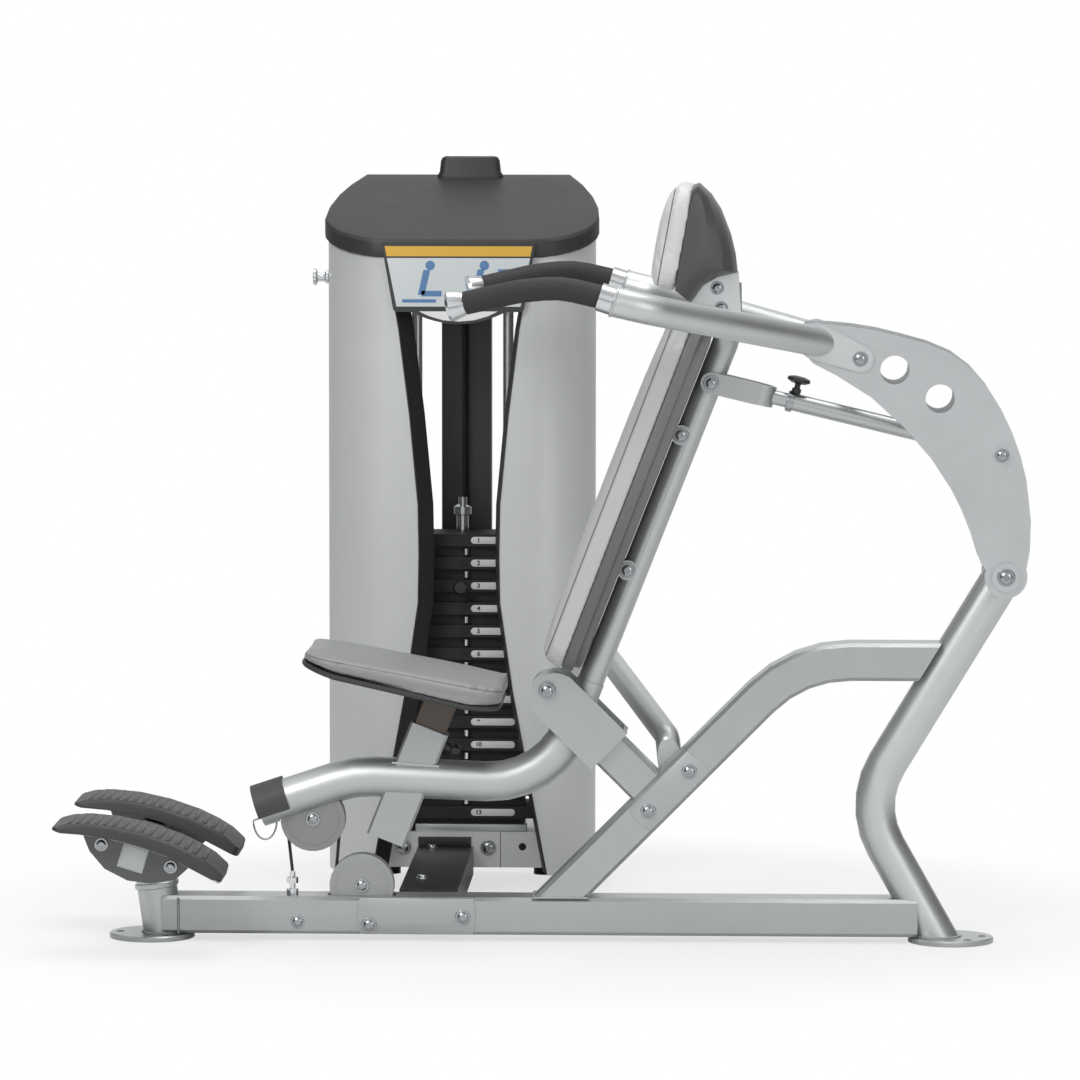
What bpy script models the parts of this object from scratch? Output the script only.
"""Seated shoulder press with a rocking seat carriage and a guarded weight tower.

Metres. X runs from the foot rest to the rear upright, Y from the near handle to the weight tower, Z up.
"""

import math

import bmesh
import bpy
import numpy as np
from mathutils import Quaternion, Vector

# Clearances
WELD_GAP = 0.0003
SLIDE_GAP = 0.0008
PIVOT_GAP = 0.0015
CABLE_END_GAP = 0.0012

# Frame tubes
FRAME_RADIUS = 0.034
RAIL_WIDTH = 0.076
RAIL_HEIGHT = 0.064
RAIL_BOTTOM = 0.011
FOOT_RADIUS = 0.0725
FOOT_THICKNESS = 0.009
FOOT_SPAN = 1.360
REAR_FOOT_X = 0.700
FRONT_FOOT_X = REAR_FOOT_X - FOOT_SPAN
RAIL_FRONT_X = FRONT_FOOT_X + 0.020
POST_FLOOR_X = FRONT_FOOT_X + 0.021
POST_LEAN = 0.143

# Rear upright: lower run, bend and the press arm's pivot
UPRIGHT_FLOOR_X = REAR_FOOT_X - 0.019
UPRIGHT_CORNER = (0.5485, 0.234)
UPRIGHT_BEND = 0.140
ARM_PIVOT = (0.787, 0.628)
PIVOT_HUB_RADIUS = 0.029

# Brace and the carriage bracket on it
BRACE_START = (0.038, 0.075)
BRACE_CORNER = (0.439, 0.479)
BRACE_BEND = 0.210
BRACE_END_STANDOFF = 0.030
CARRIAGE_PIVOT = (0.016, 0.430)
STUB_SIZE = 0.064
STUB_END = 0.118
BRACKET_WIDTH = 0.086
BRACKET_PLATE = 0.008
BRACKET_INNER = 0.041
BRACKET_END = 0.247

# Foot rest
FOOT_TILT = math.radians(17.0)
CROSS_AT = (FRONT_FOOT_X - 0.012, 0.1631)
CROSS_TUBE = 0.042
FOOT_BRACKET_Y = 0.197
FOOT_BRACKET_PLATE = 0.006
FOOT_PLATE_INNER_Y = 0.090
FOOT_PLATE_OUTER_Y = 0.245
FOOT_UNDER = ((-0.1456, 0.2136), (-0.1305, 0.2087), (-0.0970, 0.2065), (-0.0467, 0.1994), (0.0036, 0.1865),
              (0.0538, 0.1686), (0.0872, 0.1506), (0.1123, 0.1375), (0.1374, 0.1244))
FOOT_OVER = ((-0.1440, 0.2160), (-0.1260, 0.2215), (-0.0940, 0.2238), (-0.0440, 0.2195), (0.0100, 0.2075),
             (0.0621, 0.1897), (0.0956, 0.1733), (0.1210, 0.1575), (0.1410, 0.1377))
FOOT_DISC = ((-0.0848, 0.1734), (-0.0596, 0.1435), (-0.0209, 0.1237), (0.0161, 0.1190), (0.0581, 0.1245))
FOOT_DISC_ENDS = (-0.0975, 0.0867)

# Weight tower
TOWER_X = -0.162
TOWER_HALF = 0.240
TOWER_FRONT = 0.520
TOWER_DEPTH = 0.360
TOWER_BACK = TOWER_FRONT + TOWER_DEPTH
SIDE_DRAW = 0.058
PANEL_THICKNESS = 0.004
PANEL_CORNER = 0.125
PANEL_BOTTOM = 0.036
CAP_FRONT_Z = 1.144
CAP_RISE = 0.295
CAP_FASCIA = 0.034
CAP_OVERHANG = 0.006
COVER_HALF = 0.057
COVER_DEPTH = 0.040
COVER_RISE = 0.0305
BASE_BOTTOM = 0.0405
BASE_WING_TOP = 0.066
BASE_TOP = 0.1050
BASE_PAD_RADIUS = 0.021
BASE_HALF = TOWER_HALF - 0.065
WING_HALF = TOWER_HALF - 0.018
STACK_Y = TOWER_FRONT + 0.140
BASE_FRONT = STACK_Y - 0.060
POST_HALF = 0.045
POST_FRONT = STACK_Y + 0.140
POST_BACK = POST_FRONT + 0.045
PASSAGE_HALF = 0.012
PLATE_HALF_WIDTH = 0.150
PLATE_HALF_DEPTH = 0.058
PLATE_THICKNESS = 0.022
PLATE_PITCH = 0.0409
FIRST_PLATE_Z = 0.140
RESTING_PLATES = 10
LIFTED_PLATES = 3
ROD_SPREAD = 0.082
ROD_RADIUS = 0.0095
SELECTOR_RADIUS = 0.011
SELECTOR_TOP = 0.705
CROSSBAR_X = -0.190
CROSSBAR_WIDTH = 0.100
CROSSBAR_TOP = 0.078
CROSSBAR_HEIGHT = 0.050

# Cable and its pulleys
CABLE_RADIUS = 0.00275
PULLEY_PITCH = 0.0465
PULLEY_HALF = 0.010
CHEEK_RADIUS = 0.055
CHEEK_INNER = 0.0113
CHEEK_OUTER = 0.0150
AXLE_RADIUS = 0.006
CARRIAGE_PULLEY = (-0.384, 0.205)
BASE_PULLEY = (-0.301, 0.091)
TOP_PITCH = 0.055
TOP_PULLEY = (STACK_Y + TOP_PITCH, 1.125)
LOW_PITCH = 0.030
LOW_PULLEY = (STACK_Y + 2 * TOP_PITCH - LOW_PITCH, 0.0745)
ANCHOR_X = -0.420
ANCHOR_TOP = 0.113
CABLE_Z = 0.0445

# Rocking carriage
CARRIAGE_FRONT = (-0.476, 0.2236)
CARRIAGE_CORNER_1 = (-0.313, 0.278)
CARRIAGE_CORNER_2 = (0.0186, 0.2655)
CARRIAGE_BEND_1 = 0.200
CARRIAGE_BEND_2 = 0.150
CARRIAGE_TOP_Z = 0.4425
CARRIAGE_NECK = ((0.372, 1.0), (0.402, 0.70))
CARRIAGE_HUB_RADIUS = 0.028
BACK_LEAN = math.radians(68.5)
BACK_TUBE_RADIUS = 0.0225
LINK_PIVOT = (0.291, 0.950)
BACK_CORNER_Z = 1.033
BACK_TOP = (0.3195, 1.118)
BOOT_LENGTH = 0.052
BOOT_WRAP = 115.0
BOOT_THICKNESS = 0.005

# Seat
SEAT_LEAN = math.radians(21.5)
SLEEVE_TOP = (-0.185, 0.361)
SLEEVE_LENGTH = 0.2045
SLEEVE_OUTER = (0.068, 0.050)
SLEEVE_INNER = (0.059, 0.041)
SEAT_SLOPE = math.radians(10.84)
SEAT_MID = (-0.221, 0.4795)
SEAT_HALF_LENGTH = 0.178
SEAT_HALF_WIDTH = 0.160
SEAT_PAN = 0.009

# Back and head cushions
BACK_ANGLE = math.radians(69.1)
BACK_FACE_MID = (0.1090, 0.7785)
BACK_HALF_LENGTH = 0.315
BACK_HALF_WIDTH = 0.140
BACK_CUSHION = 0.045
BACK_SHELL = 0.020
HEAD_ANGLE = math.radians(79.6)
HEAD_BACK_MID = (0.2458, 1.195)
HEAD_HALF_LENGTH = 0.0925
HEAD_HALF_WIDTH = 0.125
HEAD_CUSHION = 0.045

# Link between the carriage and the press arm
ARM_LINK_PIVOT = (0.779, 0.833)
STRAP_HEIGHT = 0.036
STRAP_PLATE = 0.006
CLEVIS_LENGTH = 0.110
INNER_ROD_RADIUS = 0.0125
LINK_TUBE_RADIUS = 0.015
LINK_TUBE_START = 0.131
LINK_HUB_RADIUS = 0.020
KNOB_AT = 0.143

# Press arm
ARM_INNER_Y = 0.070
ARM_PLATE = 0.008
ARM_TUBE_RADIUS = 0.025
ARM_ROOT = (0.468, 1.0227)
ARM_PAD = 0.006
ARM_PAD_BOLT = (0.541, 0.994)
ARM_ELBOW = (0.190, 0.352, 1.088)
ARM_COLLAR = (0.136, 0.360, 1.101)
GRIP_RADIUS = 0.0195
BAR_RADIUS = 0.0125
GRIP_POINTS = ((0.111, 0.360, 1.109), (0.046, 0.356, 1.124), (-0.020, 0.347, 1.117), (-0.108, 0.331, 1.097))

BEND_STEP = 12.0
Y_AXIS = Vector((0.0, 1.0, 0.0))
Z_AXIS = Vector((0.0, 0.0, 1.0))

for old in list(bpy.data.objects):
    bpy.data.objects.remove(old, do_unlink=True)


def paint(name, colour, roughness, metallic=0.0):
    made = bpy.data.materials.new(name)
    made.use_nodes = True
    shader = made.node_tree.nodes["Principled BSDF"]
    shader.inputs["Base Color"].default_value = (*colour, 1.0)
    shader.inputs["Roughness"].default_value = roughness
    shader.inputs["Metallic"].default_value = metallic
    return made


SILVER = paint("silver_paint", (0.42, 0.44, 0.44), 0.35, 0.6)
DARK_PAINT = paint("dark_paint", (0.12, 0.105, 0.095), 0.45, 0.3)
PANEL_GREY = paint("panel_grey", (0.55, 0.57, 0.57), 0.45)
CAP_GREY = paint("cap_grey", (0.10, 0.09, 0.085), 0.5)
BLACK_IRON = paint("black_iron", (0.02, 0.02, 0.022), 0.55)
CHROME = paint("chrome", (0.75, 0.76, 0.78), 0.12, 1.0)
RUBBER = paint("black_rubber", (0.015, 0.015, 0.016), 0.8)
VINYL = paint("grey_vinyl", (0.40, 0.41, 0.42), 0.55)
SHELL_GREY = paint("shell_grey", (0.07, 0.07, 0.075), 0.5)
PULLEY_BLACK = paint("pulley_black", (0.03, 0.03, 0.032), 0.4)
CABLE_BLACK = paint("cable_black", (0.02, 0.02, 0.02), 0.5)
PLACARD_PLASTIC = paint("placard_plastic", (0.45, 0.55, 0.65), 0.3)


def solid(name, points, faces, finish):
    mesh = bpy.data.meshes.new(name)
    mesh.from_pydata([tuple(p) for p in points], [], faces)
    work = bmesh.new()
    work.from_mesh(mesh)
    bmesh.ops.recalc_face_normals(work, faces=work.faces)
    work.to_mesh(mesh)
    work.free()
    mesh.materials.append(finish)
    made = bpy.data.objects.new(name, mesh)
    bpy.context.scene.collection.objects.link(made)
    return made


def loft(name, rings, finish, wrap=False, strip=False):
    """A skin over rings of equal count, capped at both ends or closed on itself."""
    count = len(rings[0])
    total = len(rings)
    points = [p for ring in rings for p in ring]
    faces = []
    for i in range(total if wrap else total - 1):
        a = i * count
        b = ((i + 1) % total) * count
        for j in range(count):
            k = (j + 1) % count
            faces.append((a + j, a + k, b + k, b + j))
    for start in () if wrap else (0, (total - 1) * count):
        if strip:
            for j in range(count // 2 - 1):
                faces.append((start + j, start + j + 1, start + count - 2 - j, start + count - 1 - j))
        else:
            faces.append(tuple(range(start, start + count)))
    return solid(name, points, faces, finish)


def circle(radius, count=24):
    turn = [2 * math.pi * (i + 0.5) / count for i in range(count)]
    return [(radius * math.cos(a), radius * math.sin(a)) for a in turn]


def rectangle(height, width, chamfer):
    h = height / 2
    w = width / 2
    c = chamfer
    return [(-h, -w + c), (-h + c, -w), (h - c, -w), (h, -w + c), (h, w - c), (h - c, w), (-h + c, w),
            (-h, w - c)]


def rounded(corners, radii):
    """Straight runs joined by arcs, one radius for each inner corner."""
    out = [Vector(corners[0])]
    for i, radius in enumerate(radii, 1):
        here = Vector(corners[i])
        back = (Vector(corners[i - 1]) - here).normalized()
        ahead = (Vector(corners[i + 1]) - here).normalized()
        bend = math.pi - back.angle(ahead)
        centre = here + (back + ahead).normalized() * radius / math.cos(bend / 2)
        first = here + back * radius * math.tan(bend / 2) - centre
        axis = back.cross(ahead).normalized() * -1
        steps = max(2, round(math.degrees(bend) / BEND_STEP))
        for s in range(steps + 1):
            out.append(centre + Quaternion(axis, bend * s / steps) @ first)
    out.append(Vector(corners[-1]))
    return out


def flat(point, y=0.0):
    return (point[0], y, point[1])


def sweep(name, path, section, finish, start=None, end=None, sizes=None, side=Y_AXIS):
    """A section carried along a path. start and end are planes (point, normal) that trim the ends."""
    path = [Vector(p) for p in path]
    across = Vector(side)
    rings = []
    for i, here in enumerate(path):
        along = Vector((0.0, 0.0, 0.0))
        if i > 0:
            along += (here - path[i - 1]).normalized()
        if i < len(path) - 1:
            along += (path[i + 1] - here).normalized()
        along.normalize()
        across = (across - along * across.dot(along)).normalized()
        third = along.cross(across)
        size = sizes[i] if sizes else 1.0
        ring = [here + third * (a * size) + across * (b * size) for a, b in section]
        trim = start if i == 0 else end if i == len(path) - 1 else None
        if trim:
            normal = Vector(trim[1])
            ring = [p + along * ((Vector(trim[0]) - p).dot(normal) / along.dot(normal)) for p in ring]
        rings.append(ring)
    return loft(name, rings, finish)


def rod(name, first, last, radius, finish, count=20):
    run = Vector(last) - Vector(first)
    side = Y_AXIS if abs(run.normalized().y) < 0.9 else Z_AXIS
    return sweep(name, [first, last], circle(radius, count), finish, side=side)


def lathe(name, origin, axis, profile, finish, count=24, wrap=False):
    """Turned piece: profile rows are (radius, distance along the axis)."""
    axis = Vector(axis).normalized()
    side = Y_AXIS if abs(axis.y) < 0.9 else Z_AXIS
    first = (side - axis * side.dot(axis)).normalized()
    second = axis.cross(first)
    rings = []
    for radius, along in profile:
        base = Vector(origin) + axis * along
        rings.append([base + first * a + second * b for a, b in circle(radius, count)])
    return loft(name, rings, finish, wrap=wrap)


def block(name, low, high, finish):
    x0, y0, z0 = low
    x1, y1, z1 = high
    ring = [(x0, y0), (x1, y0), (x1, y1), (x0, y1)]
    return loft(name, [[(x, y, z) for x, y in ring] for z in (z0, z1)], finish)


def plate(name, outline, y0, y1, finish):
    """A flat plate in the XZ plane."""
    return loft(name, [[(x, y, z) for x, z in outline] for y in (y0, y1)], finish)


def combine(target, other, operation):
    step = target.modifiers.new("shape", "BOOLEAN")
    step.operation = operation
    step.solver = "EXACT"
    step.object = other
    graph = bpy.context.evaluated_depsgraph_get()
    made = bpy.data.meshes.new_from_object(target.evaluated_get(graph))
    target.modifiers.remove(step)
    finish = target.data.materials[0]
    target.data = made
    made.materials.clear()
    made.materials.append(finish)
    bpy.data.objects.remove(other, do_unlink=True)
    return target


def cut(target, other):
    return combine(target, other, "DIFFERENCE")


def fuse(target, other):
    return combine(target, other, "UNION")


def arc(centre, radius, first, last, steps):
    """Points of an arc in the XZ plane, angles in degrees from +X towards +Z."""
    angles = [math.radians(first + (last - first) * i / steps) for i in range(steps + 1)]
    return [(centre[0] + radius * math.cos(a), centre[1] + radius * math.sin(a)) for a in angles]


def round_rectangle(half_u, half_v, corner, steps=5):
    out = []
    for su, sv, first in ((1, 1, 0), (-1, 1, 90), (-1, -1, 180), (1, -1, 270)):
        centre = (su * (half_u - corner), sv * (half_v - corner))
        out += arc(centre, corner, first, first + 90, steps)
    return out


def padding(name, place, outline, bottom, top, profile, finish):
    """A pad: rings of its outline at a fraction f of full size, at level t between its bottom and top."""
    rings = []
    for f, t in profile:
        ring = []
        for u, v in outline:
            low = bottom(u * f, v * f)
            high = top(u * f, v * f)
            ring.append(place(u * f, v * f, low + (high - low) * t))
        rings.append(ring)
    return loft(name, rings, finish)


def pulley(name, centre, axis, pitch, finish):
    rim = pitch + 0.005
    groove = pitch - CABLE_RADIUS - SLIDE_GAP
    bore = AXLE_RADIUS + SLIDE_GAP
    half = PULLEY_HALF
    profile = [(bore, -half), (rim, -half), (rim, -0.006), (groove, -0.002), (groove, 0.002), (rim, 0.006),
               (rim, half),
               (bore, half)]
    return lathe(name, centre, axis, profile, finish, count=28, wrap=True)


# Feet and front post
RAIL_TOP = RAIL_BOTTOM + RAIL_HEIGHT
FOOT_PROFILE = [(FOOT_RADIUS - 0.001, 0.0), (FOOT_RADIUS, 0.001), (FOOT_RADIUS, FOOT_THICKNESS - 0.002),
                (FOOT_RADIUS - 0.002, FOOT_THICKNESS)]
lathe("front_foot", (FRONT_FOOT_X, 0, 0), Z_AXIS, FOOT_PROFILE, SILVER, count=32)
lathe("rear_foot", (REAR_FOOT_X, 0, 0), Z_AXIS, FOOT_PROFILE, SILVER, count=32)
foot_along = Vector((math.cos(FOOT_TILT), 0, -math.sin(FOOT_TILT)))
foot_up = Vector((math.sin(FOOT_TILT), 0, math.cos(FOOT_TILT)))
cross_centre = Vector(flat(CROSS_AT))
post_base = Vector((POST_FLOOR_X, 0, 0))
post_axis = Vector((-POST_LEAN, 0, 1)).normalized()
post_top = (cross_centre - foot_up * (CROSS_TUBE / 2 + WELD_GAP), foot_up)


def front_post_shape(name, grow):
    heights = (0.0, 0.086, 0.088, 0.095, 0.097, 0.150)
    sizes = [1.0, 1.0, 1.1, 1.1, 1.0, 1.0]
    path = [post_base + post_axis * h for h in heights]
    section = circle(FRAME_RADIUS + grow)
    floor = ((0, 0, FOOT_THICKNESS + WELD_GAP), Z_AXIS)
    return sweep(name, path, section, SILVER, start=floor, end=post_top, sizes=sizes)


front_post_shape("front_post", 0.0)

# Rear upright, turned back to carry the press arm's hub
upright_top = Vector(flat(ARM_PIVOT))
upright_corner = Vector(flat(UPRIGHT_CORNER))
upright_dir = (upright_top - upright_corner).normalized()


def rear_upright_shape(name, grow):
    low = Vector((UPRIGHT_FLOOR_X, 0, 0))
    path = rounded([low, upright_corner, upright_top - upright_dir * 0.008], [UPRIGHT_BEND])
    floor = ((0, 0, FOOT_THICKNESS + WELD_GAP), Z_AXIS)
    return sweep(name, path, circle(FRAME_RADIUS + grow), SILVER, start=floor)


rear_upright = rear_upright_shape("rear_upright", 0.0)
hub_half = ARM_INNER_Y - PIVOT_GAP
fuse(rear_upright, rod("hub", flat(ARM_PIVOT, -hub_half), flat(ARM_PIVOT, hub_half), PIVOT_HUB_RADIUS,
                       SILVER, 24))

# Base rail with its pulley slot and cable passage
rail_section = rectangle(RAIL_HEIGHT, RAIL_WIDTH, 0.006)
rail_mid = RAIL_BOTTOM + RAIL_HEIGHT / 2
rail_end = UPRIGHT_FLOOR_X - 0.5658 * rail_mid - 0.014
base_rail = sweep("base_rail", [(RAIL_FRONT_X, 0, rail_mid), (rail_end, 0, rail_mid)], rail_section, SILVER)
cut(base_rail, front_post_shape("post_cope", WELD_GAP))
cut(base_rail, rear_upright_shape("upright_cope", WELD_GAP))
slot_half = CHEEK_OUTER + WELD_GAP
slot_reach = CHEEK_RADIUS + 0.003
slot_low = BASE_PULLEY[1] - slot_reach
cut(base_rail, block("slot", (BASE_PULLEY[0] - slot_reach, -slot_half, slot_low),
                     (BASE_PULLEY[0] + slot_reach, slot_half, RAIL_TOP + 0.02), SILVER))
passage_low = CABLE_Z - PASSAGE_HALF
passage_high = CABLE_Z + PASSAGE_HALF
cut(base_rail, block("passage", (BASE_PULLEY[0], -PASSAGE_HALF, passage_low),
                     (TOWER_X + PASSAGE_HALF, PASSAGE_HALF, passage_high), SILVER))
cut(base_rail, block("window", (TOWER_X - 0.050, -PASSAGE_HALF + 0.0005, passage_low + 0.0005),
                     (TOWER_X + PASSAGE_HALF + 0.0005, RAIL_WIDTH, passage_high - 0.0005), SILVER))

# Brace from the rail to the upright
brace_start = Vector(flat(BRACE_START))
brace_corner = Vector(flat(BRACE_CORNER))
brace_dir = (brace_corner - brace_start).normalized()
upright_side = Vector((upright_dir.z, 0, -upright_dir.x))
brace_stop = upright_top - upright_side * BRACE_END_STANDOFF
brace_path = rounded([brace_start - brace_dir * 0.01, brace_corner, (0.690, 0, BRACE_CORNER[1])],
                     [BRACE_BEND])
frame_brace = sweep("frame_brace", brace_path, rail_section, SILVER,
                    start=((0, 0, RAIL_TOP + WELD_GAP), Z_AXIS),
                    end=(brace_stop, upright_side))
cut(frame_brace, rear_upright_shape("upright_cope", WELD_GAP))

# Stub and U bracket that carry the carriage's pivot
pivot = Vector(flat(CARRIAGE_PIVOT))
stub_dir = Vector((-brace_dir.z, 0, brace_dir.x))
stub_foot = pivot - stub_dir * (pivot - brace_start).dot(stub_dir)
stub_path = [stub_foot + stub_dir * (RAIL_HEIGHT / 2 + WELD_GAP),
             stub_foot + stub_dir * (STUB_END + BRACKET_PLATE / 2)]


def bracket_point(along, high):
    spot = stub_foot + brace_dir * along + stub_dir * high
    return (spot.x, spot.z)


bracket_low = STUB_END + WELD_GAP
half = BRACKET_WIDTH / 2
side_outline = [bracket_point(-half, bracket_low), bracket_point(half, bracket_low)]
side_outline += [bracket_point(a, h) for a, h in arc((0, BRACKET_END), half, 0, 180, 14)]
bracket_outer = BRACKET_INNER + BRACKET_PLATE
web_half = half - 0.0005
web_low = bracket_low + 0.0005
web_outline = [bracket_point(-web_half, web_low), bracket_point(web_half, web_low),
               bracket_point(web_half, web_low + BRACKET_PLATE), bracket_point(-web_half,
                                                                               web_low + BRACKET_PLATE)]
carriage_bracket = plate("carriage_bracket", side_outline, -bracket_outer, -BRACKET_INNER, SILVER)
fuse(carriage_bracket, plate("far_side", side_outline, BRACKET_INNER, bracket_outer, SILVER))
fuse(carriage_bracket, plate("web", web_outline, -BRACKET_INNER - 0.004, BRACKET_INNER + 0.004, SILVER))
fuse(carriage_bracket, sweep("stub", stub_path, rectangle(STUB_SIZE, STUB_SIZE, 0.005), SILVER))
for sign in (-1, 1):
    fuse(carriage_bracket, rod("pivot_bolt", pivot + Y_AXIS * sign * (bracket_outer - 0.003),
                               pivot + Y_AXIS * sign * (bracket_outer + 0.009), 0.013, SILVER, 12))

# Foot rest
under_x = [FRONT_FOOT_X + x for x, z in FOOT_UNDER]
under_z = [z for x, z in FOOT_UNDER]
over_x = [FRONT_FOOT_X + x for x, z in FOOT_OVER]
over_z = [z for x, z in FOOT_OVER]
PLATE_SEAT = 2 * WELD_GAP


def disc_top(x):
    return (x, float(np.interp(x, under_x, under_z)) - PLATE_SEAT)


disc_low, disc_high = FOOT_DISC_ENDS
bracket_outline = [disc_top(FRONT_FOOT_X + x) for x in np.linspace(disc_high, disc_low, 9)]
bracket_outline += [(FRONT_FOOT_X + x, z) for x, z in FOOT_DISC]
bracket_in = FOOT_BRACKET_Y
bracket_out = FOOT_BRACKET_Y + FOOT_BRACKET_PLATE
cross_reach = bracket_out + 0.001
cross_section = rectangle(CROSS_TUBE, CROSS_TUBE, 0.003)
foot_frame = sweep("foot_frame", [cross_centre - Y_AXIS * cross_reach, cross_centre + Y_AXIS * cross_reach],
                   cross_section, SILVER, side=foot_along)
for sign in (-1, 1):
    ends = sorted((sign * bracket_in, sign * bracket_out))
    fuse(foot_frame, plate("foot_bracket", bracket_outline, ends[0], ends[1], SILVER))

foot_mid_x = (under_x[0] + under_x[-1]) / 2
plate_mid_y = (FOOT_PLATE_INNER_Y + FOOT_PLATE_OUTER_Y) / 2
plate_half_y = (FOOT_PLATE_OUTER_Y - FOOT_PLATE_INNER_Y) / 2
FOOT_EDGE = ((1.0, 0.90, 0.55), (0.975, 0.945, 0.85), (0.90, 0.98, 1.0), (0.70, 1.0, 1.0))
foot_stations = list(FOOT_EDGE) + [(-v, length, depth) for v, length, depth in FOOT_EDGE[::-1]]
for side_name, sign in (("near", -1), ("far", 1)):
    rings = []
    for v, length, depth in foot_stations:
        low = [(foot_mid_x + (x - foot_mid_x) * length) for x in under_x]
        ring = []
        for x in low:
            ring.append((x, sign * plate_mid_y + v * plate_half_y, float(np.interp(x, under_x, under_z))))
        for x in over_x[::-1]:
            x = foot_mid_x + (x - foot_mid_x) * length
            base = float(np.interp(x, under_x, under_z))
            over = float(np.interp(x, over_x, over_z))
            ring.append((x, sign * plate_mid_y + v * plate_half_y, base + max(over - base, 0.002) * depth))
        rings.append(ring)
    loft("foot_plate_" + side_name, rings, DARK_PAINT)

# Crossbar to the tower, with the cable's passage through it
crossbar = block("stack_crossbar", (CROSSBAR_X - CROSSBAR_WIDTH / 2, RAIL_WIDTH / 2 + WELD_GAP,
                                    CROSSBAR_TOP - CROSSBAR_HEIGHT),
                 (CROSSBAR_X + CROSSBAR_WIDTH / 2, BASE_FRONT - WELD_GAP, CROSSBAR_TOP), DARK_PAINT)
cut(crossbar, block("passage", (TOWER_X - PASSAGE_HALF, 0.0, passage_low),
                    (TOWER_X + PASSAGE_HALF, STACK_Y, passage_high), DARK_PAINT))

# Tower base
low_y, low_z = LOW_PULLEY
slot_depth = LOW_PITCH + 0.012
pad_x = BASE_HALF - BASE_PAD_RADIUS - 0.011
pad_y = POST_BACK - BASE_PAD_RADIUS - 0.004
tower_base = block("tower_base", (TOWER_X - BASE_HALF, BASE_FRONT, BASE_BOTTOM),
                   (TOWER_X + BASE_HALF, POST_BACK, BASE_TOP), SILVER)
for sign in (-1, 1):
    edge = sorted((TOWER_X + sign * (BASE_HALF - 0.005), TOWER_X + sign * WING_HALF))
    fuse(tower_base, block("base_wing", (edge[0], BASE_FRONT + 0.010, BASE_BOTTOM + 0.001),
                           (edge[1], TOWER_BACK - 0.130, BASE_WING_TOP), SILVER))
    fuse(tower_base, rod("base_pad", (TOWER_X + sign * pad_x, pad_y, 0.0),
                         (TOWER_X + sign * pad_x, pad_y, BASE_BOTTOM + 0.004), BASE_PAD_RADIUS, SILVER, 16))
cut(tower_base, block("passage", (TOWER_X - PASSAGE_HALF, BASE_FRONT - 0.1, passage_low),
                      (TOWER_X + PASSAGE_HALF, low_y - 0.010, passage_high), SILVER))
cut(tower_base, block("pulley_slot", (TOWER_X - PASSAGE_HALF + 0.0005, low_y - slot_depth,
                                      low_z - slot_depth),
                      (TOWER_X + PASSAGE_HALF - 0.0005, low_y + slot_depth, BASE_TOP + 0.02), SILVER))

# Tower post, guide rods and the top pulley's bracket
def cap_underside(y):
    return CAP_FRONT_Z + CAP_RISE * (y - TOWER_FRONT - 0.010)


tower_post = block("tower_post", (TOWER_X - POST_HALF, POST_FRONT, BASE_TOP + WELD_GAP),
                   (TOWER_X + POST_HALF, POST_BACK, cap_underside(POST_FRONT) - 0.002), DARK_PAINT)
for name, sign in (("left", -1), ("right", 1)):
    x = TOWER_X + sign * ROD_SPREAD
    rod("guide_rod_" + name, (x, STACK_Y, BASE_TOP + WELD_GAP), (x, STACK_Y, cap_underside(STACK_Y) - 0.004),
        ROD_RADIUS, CHROME, 16)
top_y, top_z = TOP_PULLEY
top_pulley = pulley("top_pulley", (TOWER_X, top_y, top_z), (1, 0, 0), TOP_PITCH, PULLEY_BLACK)


def cheek(x0, x1, outline, name):
    return loft(name, [[(x, y, z) for y, z in outline] for x in (x0, x1)], DARK_PAINT)


HANGER = 0.026
hanger = arc((top_y, top_z), HANGER, 90, 270, 10)
hanger += [(POST_FRONT + 0.004, top_z - HANGER), (POST_FRONT + 0.004, top_z + HANGER)]
fuse(tower_post, cheek(TOWER_X - CHEEK_OUTER, TOWER_X - CHEEK_INNER, hanger, "left_cheek"))
fuse(tower_post, cheek(TOWER_X + CHEEK_INNER, TOWER_X + CHEEK_OUTER, hanger, "right_cheek"))
axle_half = CHEEK_OUTER - 0.001
fuse(tower_post, rod("axle", (TOWER_X - axle_half, top_y, top_z), (TOWER_X + axle_half, top_y, top_z),
                     AXLE_RADIUS,
                     DARK_PAINT, 16))

# Curved guard panels: the opening between them narrows to a waist
OPENING = ((PANEL_BOTTOM, 0.157), (0.366, 0.096), (0.526, 0.073), (0.613, 0.0715), (0.700, 0.073),
           (0.860, 0.088),
           (1.012, 0.107))
OPENING_TOP_HALF = 0.1295
panel_high = cap_underside(TOWER_FRONT) - WELD_GAP
wide_y = TOWER_FRONT + PANEL_CORNER


def side_line(half, back):
    """The plan's drawn-in side, from the back to its widest place."""
    return [(half - SIDE_DRAW * t * t, wide_y + (back - wide_y) * t) for t in (1.0, 0.75, 0.5, 0.25)]


def panel_plan(opening, inset):
    """Side, then round the front corner to the opening's edge."""
    side = TOWER_HALF - inset
    front = TOWER_FRONT + inset
    corner = PANEL_CORNER - inset
    out = side_line(side, TOWER_BACK - 0.004)
    centre = (side - corner, front + corner)
    last = math.degrees(math.acos(max(0.0, opening - centre[0]) / corner))
    out += arc(centre, corner, 0, -0.93 * last, 7)
    end_y = centre[1] - corner * math.sin(math.radians(last))
    return out + [(opening, end_y)]


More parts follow.
